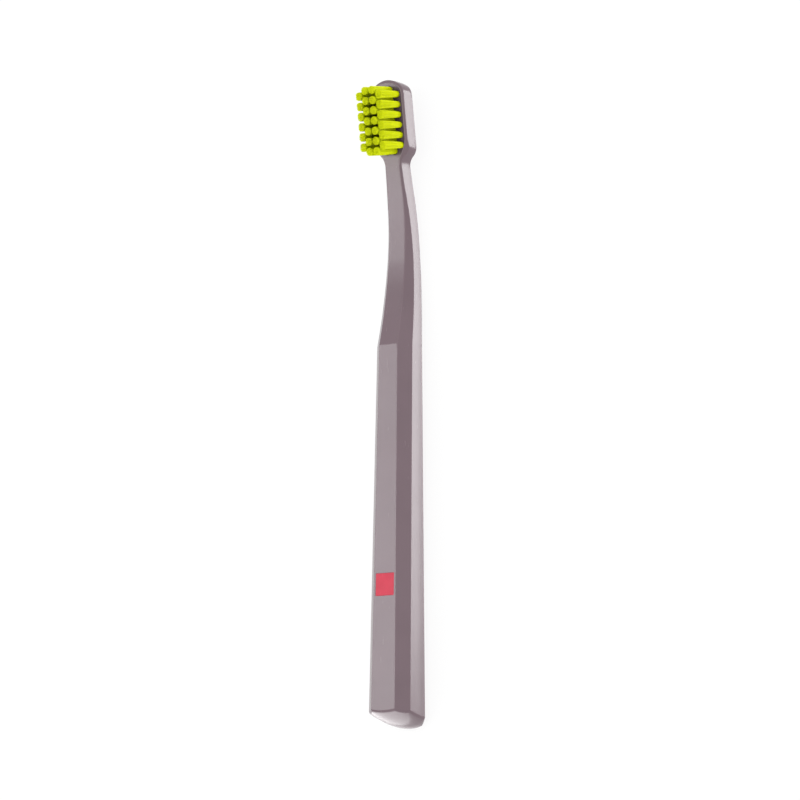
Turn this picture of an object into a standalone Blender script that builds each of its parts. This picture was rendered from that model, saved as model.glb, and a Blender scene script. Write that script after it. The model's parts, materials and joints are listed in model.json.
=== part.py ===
"""Toothbrush: a moulded handle, 26 set tufts with the anchor plates that hold them, and a badge inlay.

The brush lies on its back. +Y runs from the tail of the grip to the tip of the head, +Z is the side of
the bristles and +X is the right-hand side, seen from the bristles. Lengths are in metres. The origin is
on the floor under the middle of the brush.
"""
import math
from collections import namedtuple

import bmesh
import bpy
from mathutils import Matrix, Vector

MM = 0.001

# Lengths along the brush, one after another from the tail
GRIP_LENGTH = 103.1 * MM
NECK_LENGTH = 48.8 * MM
SHOULDER_LENGTH = 5.6 * MM
HEAD_STRAIGHT_LENGTH = 12.8 * MM
TIP_LENGTH = 4.9 * MM

# The grip is an octagon that tapers from the tail to the crease, where the neck begins
TAIL_WIDTH = 14.1 * MM
TAIL_HEIGHT = 12.6 * MM
TAIL_CHAMFER = 2.96 * MM
CREASE_WIDTH = 11.9 * MM
CREASE_HEIGHT = 10.1 * MM
CREASE_CHAMFER = 2.84 * MM

# The tail ends in a slanted dome, whose furthest point is near the back
TAIL_DOME_RADIUS_ACROSS = 11.1 * MM
TAIL_DOME_RADIUS_UP = 17.2 * MM
TAIL_APEX_HEIGHT = 0.75 * MM
TAIL_DOME_FLATTENING = 0.46

# The neck dips to a waist and rises to the root of the head; a foot is the lower edge of the side
NECK_WIDTH = 5.6 * MM
NECK_CHAMFER = 0.42 * MM
WAIST_HEIGHT = 6.08 * MM
WAIST_FOOT_HEIGHT = 1.5 * MM
HEAD_ROOT_HEIGHT = 8.25 * MM
HEAD_ROOT_FOOT_HEIGHT = 3.88 * MM

# The head is a flat slab that leans towards the bristles. Round the tip its front chamfer grows by a
# share of itself, and its outline is fuller than an ellipse by a share of its width.
HEAD_WIDTH = 10.9 * MM
HEAD_LEAN_ANGLE = math.radians(8.2)
HEAD_CHAMFER = 0.49 * MM
HEAD_BACK_CHAMFER = 0.6 * MM
TIP_CHAMFER_GROWTH = 0.87
TIP_FULLNESS = 0.088
SCALLOP_DEPTH = 0.7 * MM
SCALLOP_REACH = 3.2 * MM

# Both halves of the mould draw the sides in from a parting line at their middle
DRAFT_ANGLE = math.radians(1.5)

# Tufts: columns counted from the left, the outer ones half a pitch behind the inner ones
TUFTS_PER_COLUMN = (6, 7, 7, 6)
INNER_COLUMN_PLACE = 1.2 * MM
OUTER_COLUMN_PLACE = 3.4 * MM
TUFT_PITCH = 2.76 * MM
FIELD_MIDDLE_FROM_TIP = 11.1 * MM
INNER_TUFT_LENGTH = 8.5 * MM
OUTER_TUFT_LENGTH = 8.3 * MM
ROOT_RADIUS = 0.9 * MM
HOLE_DEPTH = 3.0 * MM
ROOT_SINK = 0.15 * MM
TIP_DOME_DROP = 0.14 * MM
TIP_FLARE_SHARE = 1.25

# Strands of one tuft: one in the middle and two rings round it
STRAND_HALF_WIDTH = 0.135 * MM
CORE_STRAND_HALF_WIDTH = 0.115 * MM
STRANDS_PER_RING = (5, 10)
RING_RADII = (0.36 * MM, 0.68 * MM)
STRAND_EMBED = 0.3 * MM

# Anchor plate, pressed through the fold of its tuft
ANCHOR_WIDTH = 1.5 * MM
ANCHOR_HEIGHT = 1.2 * MM
ANCHOR_THICKNESS = 0.26 * MM
FOLD_DEPTH = 0.45 * MM

# Badge inlay on the front of the grip
BADGE_SIZE = 6.05 * MM
BADGE_THICKNESS = 0.5 * MM
BADGE_PLACE = 38.2 * MM

# Clearances, and how far a cutter runs past what it cuts
ROOT_CLEARANCE = 0.08 * MM
ANCHOR_CLEARANCE = 0.06 * MM
BADGE_CLEARANCE = 0.1 * MM
OVERRUN = 1.0 * MM

# How finely the shapes are divided
NECK_STEPS = 20
SHOULDER_STEPS = 8
TIP_STEPS = 8
RIM_STEPS = 4
DOME_RINGS = 5
SETTLE_ROUNDS = 6
HOLE_SIDES = 16
ROOT_SIDES = 8

# Shapes along the neck, as rows of (share of the neck's length, share of the way).
# Width and chamfer go from 1 at the crease to 0 at the head.
WIDTH_SHARES = ((0, 1), (0.2, 0.79), (0.4, 0.585), (0.6, 0.38), (0.8, 0.19), (0.9, 0.07), (1, 0))
CHAMFER_SHARES = ((0, 1), (0.2, 0.783), (0.4, 0.57), (0.6, 0.353), (0.8, 0.119), (0.9, 0.026), (1, 0))
# Heights fall from 1 at the crease to 0 at the waist, and rise again to 1 at the head.
FRONT_FALL_SHARES = ((0, 1), (0.1, 0.725), (0.2, 0.483), (0.4, 0.137), (0.5, 0.035), (0.6, 0), (1, 0))
FRONT_RISE_SHARES = ((0, 0), (0.6, 0), (0.7, 0.08), (0.8, 0.313), (0.9, 0.64), (1, 1))
FOOT_FALL_SHARES = ((0, 1), (0.2, 0.395), (0.4, 0.03), (0.5, 0), (1, 0))
FOOT_RISE_SHARES = ((0, 0), (0.5, 0), (0.6, 0.03), (0.8, 0.37), (0.9, 0.66), (1, 1))
BACK_RISE_SHARES = ((0, 0), (0.4, 0), (0.6, 0.044), (0.8, 0.43), (0.9, 0.7), (1, 1))

# Places along the brush that follow from the lengths
SHOULDER_START = GRIP_LENGTH + NECK_LENGTH
HEAD_START = SHOULDER_START + SHOULDER_LENGTH
TIP_START = HEAD_START + HEAD_STRAIGHT_LENGTH
BRUSH_LENGTH = TIP_START + TIP_LENGTH

# A cross-section of the handle: half its width at the parting line, the front chamfer, and heights
Section = namedtuple("Section", "half_width chamfer front foot back")


def between(start, end, share):
    """The value at a share of the way from start to end."""
    return start + (end - start) * share


def smooth(rows, at):
    """Reads a table of (place, value) rows at a place, along a curve that never overshoots its rows."""
    slopes = [(b[1] - a[1]) / (b[0] - a[0]) for a, b in zip(rows, rows[1:])]
    bends = [slopes[0]]
    for before, after in zip(slopes, slopes[1:]):
        same_way = before * after > 0
        bends.append(2 * before * after / (before + after) if same_way else 0)
    bends.append(slopes[-1])
    for i, (a, b) in enumerate(zip(rows, rows[1:])):
        if at <= b[0] or i == len(slopes) - 1:
            step = b[0] - a[0]
            t = (at - a[0]) / step
            rise = (3 - 2 * t) * t * t
            leave = t * (1 - t) * (1 - t) * bends[i]
            arrive = t * t * (t - 1) * bends[i + 1]
            return a[1] + rise * (b[1] - a[1]) + step * (leave + arrive)


def grip_section(y):
    """The octagon of the grip, at y from the tail."""
    share = y / GRIP_LENGTH
    chamfer = between(TAIL_CHAMFER, CREASE_CHAMFER, share)
    width = between(TAIL_WIDTH, CREASE_WIDTH, share)
    return Section(width / 2, chamfer, between(TAIL_HEIGHT, CREASE_HEIGHT, share), chamfer, 0)


def neck_section(y):
    """The neck between the crease and the shoulder."""
    share = (y - GRIP_LENGTH) / NECK_LENGTH
    fall, rise = smooth(FRONT_FALL_SHARES, share), smooth(FRONT_RISE_SHARES, share)
    foot_fall, foot_rise = smooth(FOOT_FALL_SHARES, share), smooth(FOOT_RISE_SHARES, share)
    head_back = HEAD_ROOT_FOOT_HEIGHT - HEAD_BACK_CHAMFER
    return Section(
        half_width=between(NECK_WIDTH, CREASE_WIDTH, smooth(WIDTH_SHARES, share)) / 2,
        chamfer=between(NECK_CHAMFER, CREASE_CHAMFER, smooth(CHAMFER_SHARES, share)),
        front=WAIST_HEIGHT + fall * (CREASE_HEIGHT - WAIST_HEIGHT) + rise * (HEAD_ROOT_HEIGHT - WAIST_HEIGHT),
        foot=WAIST_FOOT_HEIGHT
        + foot_fall * (CREASE_CHAMFER - WAIST_FOOT_HEIGHT)
        + foot_rise * (HEAD_ROOT_FOOT_HEIGHT - WAIST_FOOT_HEIGHT),
        back=head_back * smooth(BACK_RISE_SHARES, share),
    )


def shoulder_half_width(y):
    """Half the width where the neck swells into the head: a hollow arc, then a round one, of one radius."""
    swell = (HEAD_WIDTH - NECK_WIDTH) / 2
    turn = 2 * math.atan2(swell, SHOULDER_LENGTH)
    radius = SHOULDER_LENGTH / 2 / math.sin(turn)
    run = min(max(y - SHOULDER_START, 0), SHOULDER_LENGTH)
    if run <= SHOULDER_LENGTH / 2:
        return NECK_WIDTH / 2 + radius - math.sqrt(radius * radius - run * run)
    left = SHOULDER_LENGTH - run
    return HEAD_WIDTH / 2 - radius + math.sqrt(radius * radius - left * left)


def scallop(y):
    """How much deeper the front chamfer is where it sweeps round the shoulder."""
    middle = HEAD_START - SCALLOP_REACH / 2
    off = abs(y - middle) / SCALLOP_REACH
    return SCALLOP_DEPTH * math.cos(off * math.pi / 2) ** 2 if off < 1 else 0


def head_section(y):
    """The shoulder and the head, a slab between two leaning planes."""
    climb = math.tan(HEAD_LEAN_ANGLE) * (y - SHOULDER_START)
    foot = HEAD_ROOT_FOOT_HEIGHT + climb
    return Section(
        half_width=shoulder_half_width(y),
        chamfer=between(NECK_CHAMFER, HEAD_CHAMFER, min((y - SHOULDER_START) / SHOULDER_LENGTH, 1)) + scallop(y),
        front=HEAD_ROOT_HEIGHT + climb,
        foot=foot,
        back=foot - HEAD_BACK_CHAMFER,
    )


def corners(section, y):
    """The five corners on the right-hand side of a section, from the front to the back."""
    top = section.front - section.chamfer
    inset = math.tan(DRAFT_ANGLE) * (top - section.foot) / 2
    side = section.half_width - inset
    return [
        Vector((side - section.chamfer, y, section.front)),
        Vector((side, y, top)),
        Vector((section.half_width, y, (top + section.foot) / 2)),
        Vector((side, y, section.foot)),
        Vector((side - (section.foot - section.back), y, section.back)),
    ]


def tip_corners(turn):
    """The corners where the outline of the head has turned from its side (0) to its tip (90 degrees)."""
    flat = head_section(TIP_START)
    fullness = 1 + TIP_FULLNESS * math.sin(2 * turn) ** 2
    ring = []
    for corner in corners(flat, TIP_START):
        inset = flat.half_width - corner.x
        widening = TIP_CHAMFER_GROWTH * min(inset, HEAD_CHAMFER) * math.sin(turn)
        run = (TIP_LENGTH - inset - widening) * math.sin(turn)
        rise = math.tan(HEAD_LEAN_ANGLE) * run
        ring.append(Vector((corner.x * math.cos(turn) * fullness, TIP_START + run, corner.z + rise)))
    return ring


def tail_dome(x, z):
    """Where the end face of the tail lies, from its furthest point. It is flatter across near the front."""
    up = z - TAIL_APEX_HEIGHT
    flatter = 1 - TAIL_DOME_FLATTENING * (z / TAIL_HEIGHT) ** 3
    return flatter * x * x / (2 * TAIL_DOME_RADIUS_ACROSS) + up * up / (2 * TAIL_DOME_RADIUS_UP)


def mirrored(ring):
    """A whole ring from its right-hand half, going round from the right front to the left front."""
    left = [Vector((-p.x, p.y, p.z)) for p in reversed(ring)]
    return ring + left


def tail_rim():
    """Points where the eight facets and the parting lines run out on the end face, in steps per facet."""
    count = len(mirrored(corners(grip_section(0), 0)))
    rim = []
    for i in range(count):
        for step in range(RIM_STEPS):
            y = 0
            for _ in range(SETTLE_ROUNDS):
                ring = mirrored(corners(grip_section(y), y))
                point = ring[i].lerp(ring[(i + 1) % count], step / RIM_STEPS)
                y = tail_dome(point.x, point.z)
            rim.append(Vector((point.x, y, point.z)))
    return rim


def add_face(bm, verts):
    """A face through the given corners, leaving out repeated ones."""
    kept = []
    for v in verts:
        if v not in kept:
            kept.append(v)
    if len(kept) > 2:
        bm.faces.new(kept)


def add_grip(bm):
    """The end face and the long facets of the grip. Returns the ring of corners at the crease."""
    rim_points = tail_rim()
    apex = bm.verts.new((0, 0, TAIL_APEX_HEIGHT))
    outer = [bm.verts.new(p) for p in rim_points]
    rim = outer
    for ring in range(DOME_RINGS - 1, 0, -1):
        share = ring / DOME_RINGS
        inner = []
        for p in rim_points:
            x, z = p.x * share, between(TAIL_APEX_HEIGHT, p.z, share)
            inner.append(bm.verts.new((x, tail_dome(x, z), z)))
        for i in range(len(inner)):
            j = (i + 1) % len(inner)
            add_face(bm, (outer[i], outer[j], inner[j], inner[i]))
        outer = inner
    for i in range(len(outer)):
        add_face(bm, (outer[i], outer[(i + 1) % len(outer)], apex))
    crease = [bm.verts.new(p) for p in mirrored(corners(grip_section(GRIP_LENGTH), GRIP_LENGTH))]
    for i in range(len(crease)):
        j = (i + 1) % len(crease)
        edge = [rim[(i * RIM_STEPS + step) % len(rim)] for step in range(RIM_STEPS + 1)]
        add_face(bm, [crease[i], crease[j]] + edge[::-1])
    return crease


def rings_to_tip():
    """The right-hand corners of each section from the crease to the tip of the head."""
    rings = []
    for step in range(1, NECK_STEPS + 1):
        y = GRIP_LENGTH + NECK_LENGTH * step / NECK_STEPS
        rings.append(corners(neck_section(y), y))
    for step in range(1, SHOULDER_STEPS + 1):
        y = SHOULDER_START + SHOULDER_LENGTH * step / SHOULDER_STEPS
        rings.append(corners(head_section(y), y))
    past_scallop = HEAD_START + SCALLOP_REACH / 2
    rings.append(corners(head_section(past_scallop), past_scallop))
    for step in range(TIP_STEPS + 1):
        rings.append(tip_corners(math.pi / 2 * step / TIP_STEPS))
    return rings


def add_neck_and_head(bm, crease):
    """Skins the rings from the crease to the tip, where both sides meet in one upright line."""
    previous = crease
    rings = rings_to_tip()
    for ring in rings[:-1]:
        current = [bm.verts.new(p) for p in mirrored(ring)]
        skin(bm, previous, current)
        previous = current
    line = [bm.verts.new((0, p.y, p.z)) for p in rings[-1]]
    skin(bm, previous, line + line[::-1])


def skin(bm, first, second):
    """Joins two rings of equal count with one face per side."""
    for i in range(len(first)):
        j = (i + 1) % len(first)
        add_face(bm, (first[i], second[i], second[j], first[j]))


def finish_mesh(bm, name):
    """Faces out, then a mesh."""
    bmesh.ops.recalc_face_normals(bm, faces=bm.faces)
    mesh = bpy.data.meshes.new(name)
    bm.to_mesh(mesh)
    bm.free()
    return mesh


def handle_mesh():
    """The one moulding of grip, neck and head, before its holes are made."""
    bm = bmesh.new()
    crease = add_grip(bm)
    add_neck_and_head(bm, crease)
    return finish_mesh(bm, "handle")


def head_frame(x, y):
    """A frame on the front of the head: its z axis points along the tufts."""
    height = HEAD_ROOT_HEIGHT + math.tan(HEAD_LEAN_ANGLE) * (y - SHOULDER_START)
    return Matrix.Translation((x, y, height)) @ Matrix.Rotation(HEAD_LEAN_ANGLE, 4, "X")


def grip_frame(y):
    """A frame on the front facet of the grip: its z axis points out of the facet."""
    slope = math.atan2(TAIL_HEIGHT - CREASE_HEIGHT, GRIP_LENGTH)
    return Matrix.Translation((0, y, grip_section(y).front)) @ Matrix.Rotation(-slope, 4, "X")


def tuft_places():
    """Name and place of each tuft, column by column from the left and from the tip down."""
    across = (-OUTER_COLUMN_PLACE, -INNER_COLUMN_PLACE, INNER_COLUMN_PLACE, OUTER_COLUMN_PLACE)
    middle = BRUSH_LENGTH - FIELD_MIDDLE_FROM_TIP
    pitch = TUFT_PITCH * math.cos(HEAD_LEAN_ANGLE)
    places = []
    for column, (x, count) in enumerate(zip(across, TUFTS_PER_COLUMN), start=1):
        for row in range(count):
            y = middle + pitch * ((count - 1) / 2 - row)
            places.append((f"{column}_{row + 1}", x, y))
    return places


def add_prism(bm, foot, top, sides, turn=0.0):
    """A closed prism between two (centre, radius) ends, whose sides are flat."""
    rings = []
    for centre, radius in (foot, top):
        ring = []
        for i in range(sides):
            angle = turn + 2 * math.pi * i / sides
            ring.append(bm.verts.new(centre + Vector((math.cos(angle), math.sin(angle), 0)) * radius))
        rings.append(ring)
    bm.faces.new(rings[0][::-1])
    bm.faces.new(rings[1])
    for i in range(sides):
        j = (i + 1) % sides
        bm.faces.new((rings[0][i], rings[0][j], rings[1][j], rings[1][i]))


def add_box(bm, size, centre):
    """An upright box."""
    shape = Matrix.Translation(centre) @ Matrix.Diagonal((*size, 1))
    bmesh.ops.create_cube(bm, size=1, matrix=shape)


def strand_places():
    """Radius, angle and half width of each strand at the root of its tuft."""
    places = [(0, 0, CORE_STRAND_HALF_WIDTH)]
    for count, radius in zip(STRANDS_PER_RING, RING_RADII):
        for i in range(count):
            places.append((radius, 2 * math.pi * i / count, STRAND_HALF_WIDTH))
    return places


def add_strand(bm, radius, angle, half_width, tuft_length):
    """One four-sided strand, which leans out and thickens a little towards its end."""
    away = Vector((math.cos(angle), math.sin(angle), 0))
    corner = half_width * math.sqrt(2)
    height = tuft_length - TIP_DOME_DROP * (radius / ROOT_RADIUS) ** 2
    foot = away * radius + Vector((0, 0, -ROOT_SINK - STRAND_EMBED))
    top = away * radius * TIP_FLARE_SHARE + Vector((0, 0, height))
    add_prism(bm, (foot, corner), (top, corner * TIP_FLARE_SHARE), 4, angle + math.pi / 4)


def evaluated_mesh(obj, name):
    """A mesh of its own with the object's modifiers applied, after which the object goes."""
    depsgraph = bpy.context.evaluated_depsgraph_get()
    mesh = bpy.data.meshes.new_from_object(obj.evaluated_get(depsgraph))
    mesh.name = name
    bpy.data.objects.remove(obj)
    return mesh


def scratch_object(bm, name):
    """An unseen object that a Boolean can use."""
    obj = bpy.data.objects.new(name, finish_mesh(bm, name))
    bpy.context.collection.objects.link(obj)
    obj.hide_render = True
    obj.display_type = "WIRE"
    return obj


def add_boolean(obj, cutter, operation):
    """An exact Boolean with one other object."""
    modifier = obj.modifiers.new(operation.lower(), "BOOLEAN")
    modifier.operation = operation
    modifier.solver = "EXACT"
    modifier.object = cutter


def anchor_middle():
    """Height of the middle of an anchor plate, from the face of the head."""
    return -HOLE_DEPTH + ROOT_CLEARANCE + FOLD_DEPTH + ANCHOR_CLEARANCE + ANCHOR_HEIGHT / 2


def tuft_mesh(name, length):
    """Strands fused to the slice of folded filament that fills the hole, with a way through for the anchor."""
    root = bmesh.new()
    low, high = -HOLE_DEPTH + ROOT_CLEARANCE, -ROOT_SINK
    flat_ahead = math.pi / ROOT_SIDES
    ends = [(Vector((0, 0, z)), ROOT_RADIUS) for z in (low, high)]
    add_prism(root, *ends, ROOT_SIDES, flat_ahead)
    root_object = scratch_object(root, "tuft_root")
    strands = bmesh.new()
    for radius, angle, half_width in strand_places():
        add_strand(strands, radius, angle, half_width, length)
    strand_object = scratch_object(strands, "tuft_strands")
    slot = bmesh.new()
    size = (
        ANCHOR_THICKNESS + 2 * ANCHOR_CLEARANCE,
        2 * ROOT_RADIUS + OVERRUN,
        ANCHOR_HEIGHT + 2 * ANCHOR_CLEARANCE,
    )
    add_box(slot, size, (0, 0, anchor_middle()))
    slot_object = scratch_object(slot, "anchor_slot")
    add_boolean(root_object, strand_object, "UNION")
    add_boolean(root_object, slot_object, "DIFFERENCE")
    mesh = evaluated_mesh(root_object, name)
    bpy.data.objects.remove(strand_object)
    bpy.data.objects.remove(slot_object)
    return mesh


def anchor_mesh():
    """The plate that a tuft is folded over."""
    bm = bmesh.new()
    add_box(bm, (ANCHOR_THICKNESS, ANCHOR_WIDTH, ANCHOR_HEIGHT), (0, 0, anchor_middle()))
    return finish_mesh(bm, "anchor")


def badge_mesh():
    """A square plate whose face is flush with the grip."""
    bm = bmesh.new()
    add_box(bm, (BADGE_SIZE, BADGE_SIZE, BADGE_THICKNESS), (0, 0, -BADGE_THICKNESS / 2))
    return finish_mesh(bm, "badge")


def add_holes(handle, parent):
    """Cuts the blind tuft holes and the badge's recess out of the handle."""
    bm = bmesh.new()
    radius = ROOT_RADIUS + ROOT_CLEARANCE
    for _, x, y in tuft_places():
        hole = bmesh.new()
        add_prism(hole, (Vector((0, 0, -HOLE_DEPTH)), radius), (Vector((0, 0, OVERRUN)), radius), HOLE_SIDES)
        add_copy(bm, hole, head_frame(x, y))
    recess = bmesh.new()
    side = BADGE_SIZE + 2 * BADGE_CLEARANCE
    depth = BADGE_THICKNESS + BADGE_CLEARANCE
    add_box(recess, (side, side, depth + OVERRUN), (0, 0, (OVERRUN - depth) / 2))
    add_copy(bm, recess, grip_frame(BADGE_PLACE))
    cutter = scratch_object(bm, "hole_cutter")
    cutter.parent = parent
    add_boolean(handle, cutter, "DIFFERENCE")


def add_copy(target, source, frame):
    """Moves one small mesh into a frame and adds it to another."""
    source.transform(frame)
    mesh = bpy.data.meshes.new("copy")
    source.to_mesh(mesh)
    source.free()
    target.from_mesh(mesh)
    bpy.data.meshes.remove(mesh)


def material(name, colour, roughness, metallic=0.0):
    """A plain Principled material."""
    made = bpy.data.materials.new(name)
    made.use_nodes = True
    shader = made.node_tree.nodes["Principled BSDF"]
    shader.inputs["Base Color"].default_value = (*colour, 1)
    shader.inputs["Roughness"].default_value = roughness
    shader.inputs["Metallic"].default_value = metallic
    return made


def place(name, mesh, finish, parent, frame):
    """A named piece in its frame, with its material."""
    obj = bpy.data.objects.new(name, mesh)
    bpy.context.collection.objects.link(obj)
    obj.data.materials.clear()
    obj.data.materials.append(finish)
    obj.parent = parent
    obj.matrix_local = frame
    return obj


def main():
    for obj in list(bpy.data.objects):
        bpy.data.objects.remove(obj)
    handle_plastic = material("handle_plastic", (0.36, 0.29, 0.32), 0.4)
    filament = material("filament", (0.72, 0.80, 0.02), 0.45)
    brass = material("anchor_brass", (0.72, 0.52, 0.22), 0.3, 1.0)
    badge_red = material("badge_red", (0.70, 0.03, 0.05), 0.35)

    brush = bpy.data.objects.new("brush", None)
    bpy.context.collection.objects.link(brush)
    brush.location = (0, -BRUSH_LENGTH / 2, 0)

    handle = place("handle", handle_mesh(), handle_plastic, brush, Matrix.Identity(4))
    add_holes(handle, brush)
    place("badge", badge_mesh(), badge_red, brush, grip_frame(BADGE_PLACE))
    inner_tuft = tuft_mesh("inner_tuft", INNER_TUFT_LENGTH)
    outer_tuft = tuft_mesh("outer_tuft", OUTER_TUFT_LENGTH)
    anchor = anchor_mesh()
    for label, x, y in tuft_places():
        tuft = outer_tuft if abs(x) > INNER_COLUMN_PLACE else inner_tuft
        place(f"tuft_{label}", tuft, filament, brush, head_frame(x, y))
        place(f"anchor_{label}", anchor, brass, brush, head_frame(x, y))


main()
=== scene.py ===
"""Looks of the toothbrush: a satin moulded handle, 26 tufts of fine filaments and a red badge inlay.

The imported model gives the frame. +Y runs to the tip of the head, +Z is the side of the bristles, and the
brush lies on its back. Lengths are in metres. In the shape functions y is measured from the tail.
"""
import json
import math
from collections import namedtuple

import bmesh
import bpy
import numpy as np
from mathutils import Matrix, Vector

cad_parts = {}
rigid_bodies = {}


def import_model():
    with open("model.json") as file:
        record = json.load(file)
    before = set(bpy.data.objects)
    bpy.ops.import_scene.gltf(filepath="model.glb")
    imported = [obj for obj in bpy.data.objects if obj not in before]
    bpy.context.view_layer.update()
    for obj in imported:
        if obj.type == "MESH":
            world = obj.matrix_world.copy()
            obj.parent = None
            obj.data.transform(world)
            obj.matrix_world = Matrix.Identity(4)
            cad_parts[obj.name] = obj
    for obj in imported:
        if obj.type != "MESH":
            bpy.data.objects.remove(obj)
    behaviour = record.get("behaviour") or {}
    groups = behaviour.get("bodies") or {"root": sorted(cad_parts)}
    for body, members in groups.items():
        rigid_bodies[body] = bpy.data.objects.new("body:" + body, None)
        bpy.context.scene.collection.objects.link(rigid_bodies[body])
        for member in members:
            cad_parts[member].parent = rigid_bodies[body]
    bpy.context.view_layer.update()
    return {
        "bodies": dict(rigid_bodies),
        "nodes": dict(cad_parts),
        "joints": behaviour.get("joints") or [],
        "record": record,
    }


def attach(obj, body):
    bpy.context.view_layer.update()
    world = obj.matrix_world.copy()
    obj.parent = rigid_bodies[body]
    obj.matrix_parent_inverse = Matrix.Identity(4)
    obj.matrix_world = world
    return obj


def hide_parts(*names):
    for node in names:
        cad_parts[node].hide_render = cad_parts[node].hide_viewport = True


MM = 0.001

# Lengths along the brush, one after another from the tail
GRIP_LENGTH = 103.1 * MM
NECK_LENGTH = 48.8 * MM
SHOULDER_LENGTH = 5.6 * MM
HEAD_STRAIGHT_LENGTH = 12.8 * MM
TIP_LENGTH = 4.9 * MM

# The grip is an octagon that tapers from the tail to the crease, and its tail is a slanted dome
TAIL_WIDTH = 14.1 * MM
TAIL_HEIGHT = 12.6 * MM
TAIL_CHAMFER = 2.96 * MM
CREASE_WIDTH = 11.9 * MM
CREASE_HEIGHT = 10.1 * MM
CREASE_CHAMFER = 2.84 * MM
TAIL_DOME_RADIUS_ACROSS = 11.1 * MM
TAIL_DOME_RADIUS_UP = 17.2 * MM
TAIL_APEX_HEIGHT = 0.75 * MM
TAIL_DOME_FLATTENING = 0.46

# The neck dips to a waist and rises to the root of the head; a foot is the lower edge of the side
NECK_WIDTH = 5.6 * MM
NECK_CHAMFER = 0.42 * MM
WAIST_HEIGHT = 6.08 * MM
WAIST_FOOT_HEIGHT = 1.5 * MM
HEAD_ROOT_HEIGHT = 8.25 * MM
HEAD_ROOT_FOOT_HEIGHT = 3.88 * MM

# The head is a flat slab that leans towards the bristles. Round the tip its chamfers grow by a share of the
# front one, and its outline is fuller than an ellipse by a share of its width.
HEAD_WIDTH = 10.9 * MM
HEAD_LEAN_ANGLE = math.radians(8.2)
HEAD_CHAMFER = 0.49 * MM
HEAD_BACK_CHAMFER = 0.6 * MM
TIP_CHAMFER_GROWTH = 0.87
TIP_FULLNESS = 0.088
SCALLOP_DEPTH = 0.7 * MM
SCALLOP_REACH = 3.2 * MM

# Both halves of the mould draw the sides in from a parting line at their middle
DRAFT_ANGLE = math.radians(1.5)

# Rounding of the moulding's edges and kinks. Corners that turn less than the smallest turn stay as they are.
EDGE_RADIUS = 0.25 * MM
SMALLEST_EDGE_RADIUS = 0.05 * MM
EDGE_ROOM_SHARE = 0.45
RIM_RADIUS = 0.55 * MM
CREASE_EASE = 0.15 * MM
EASE_TAPS = (-1, -0.5, 0, 0.5, 1)
SMALLEST_TURN = math.radians(8)
HANDLE_SHARP_ANGLE = math.radians(32)
# Ordinary edges are a little paler by wear; the front edge of the head is fully paler, as a painted highlight
USUAL_EDGE_WEAR = 0.2

# How finely the moulding is divided: its corners and its flats from front to back, then rings from the tail
CORNER_STEPS = 5
FLAT_PARTS = (6, 3, 2, 2, 3, 5)
DOME_STEPS = 12
RIM_STEPS = 12
GRIP_STEPS = 14
NECK_STEPS = 70
SHOULDER_STEPS = 34
TIP_STEPS = 28
WELD_DISTANCE = 0.0002 * MM

# Rings at a kink lie in steps of its ease, and a ring of the rim settles on the dome in a few rounds
KINK_STEPS = (-3, -1.5, -0.75, 0, 0.75, 1.5, 3)
SETTLE_ROUNDS = 3

# How far the evenly spaced rings of the grip, the neck and the shoulder keep from the tail and the kinks
TAIL_CLEAR = 3.5 * MM
CREASE_CLEAR = 1.5 * MM
NECK_CLEAR = 0.9 * MM
SHOULDER_CLEAR = 0.7 * MM

# Tufts in columns, counted from the left. The rows of an outer column lie half a pitch off the inner ones.
TUFTS_PER_COLUMN = (6, 7, 7, 6)
INNER_COLUMN_PLACE = 1.2 * MM
OUTER_COLUMN_PLACE = 3.4 * MM
TUFT_PITCH = 2.76 * MM
FIELD_MIDDLE_FROM_TIP = 11.1 * MM
HOLE_RADIUS = 0.98 * MM
HOLE_DEPTH = 3.0 * MM
HOLE_FLARE = 0.07 * MM
HOLE_SIDES = 32

# Filaments of a tuft, in rings round one in the middle
FILAMENT_RADIUS = 0.055 * MM
FILAMENT_SIDES = 6
FILAMENT_RINGS = 8
FILAMENTS_IN_FIRST_RING = 6
RING_PITCH = 0.098 * MM
TUFT_ROOT_RADIUS = FILAMENT_RINGS * RING_PITCH
ROOT_SCATTER = 0.01 * MM
TUFT_SINK = 1.1 * MM
INNER_TUFT_LENGTH = 8.5 * MM
OUTER_TUFT_LENGTH = 8.3 * MM
OUTER_TUFT_LEAN = 0.08 * MM
LENGTH_SPREAD = 0.07 * MM
WANDER = 0.03 * MM
FIRST_SEED = 100

# Rings along a filament from its sunk foot, as shares of its length and of its width.
# The last two rings round its end.
FILAMENT_LENGTH_SHARES = (0, 0, 0.12, 0.25, 0.5, 0.75, 0.93, 1, 1)
FILAMENT_WIDTH_SHARES = (1, 1, 1, 1, 1, 1, 1, 0.97, 0.62)
END_ROUND = 0.04 * MM
LAST_RING_DROP_SHARE = 0.3

# The end of a tuft: its dome, and how much it opens across and along the brush
TIP_DOME_DROP = 0.14 * MM
TIP_DOME_POWER = 2.5
INNER_TIP_OPENING = (0.23, 0.3)
OUTER_TIP_OPENING = (0.25, 0.47)
TIP_SQUARENESS = 0.06
FLARE_BEND = 0.75

# How freely light reaches a tuft, as (in its middle, how much more on its outside).
# A tuft that lies further than this from the middle of the field is the end of its column.
COLUMN_END_FROM_MIDDLE = 2.3 * TUFT_PITCH
OUTER_COLUMN_REACH = (0.7, 0.6)
INNER_COLUMN_REACH = (0, 1.3)
COLUMN_END_REACH = (0.8, 0.5)

# Badge inlay
BADGE_SIZE = 6.05 * MM
BADGE_THICKNESS = 0.5 * MM
BADGE_PLACE = 38.2 * MM
BADGE_GAP = 0.03 * MM
BADGE_EDGE = 0.06 * MM
BADGE_EDGE_STEPS = 3
BADGE_SHARP_ANGLE = math.radians(40)

# How far a cutter runs past what it cuts
OVERRUN = 1.0 * MM

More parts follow.
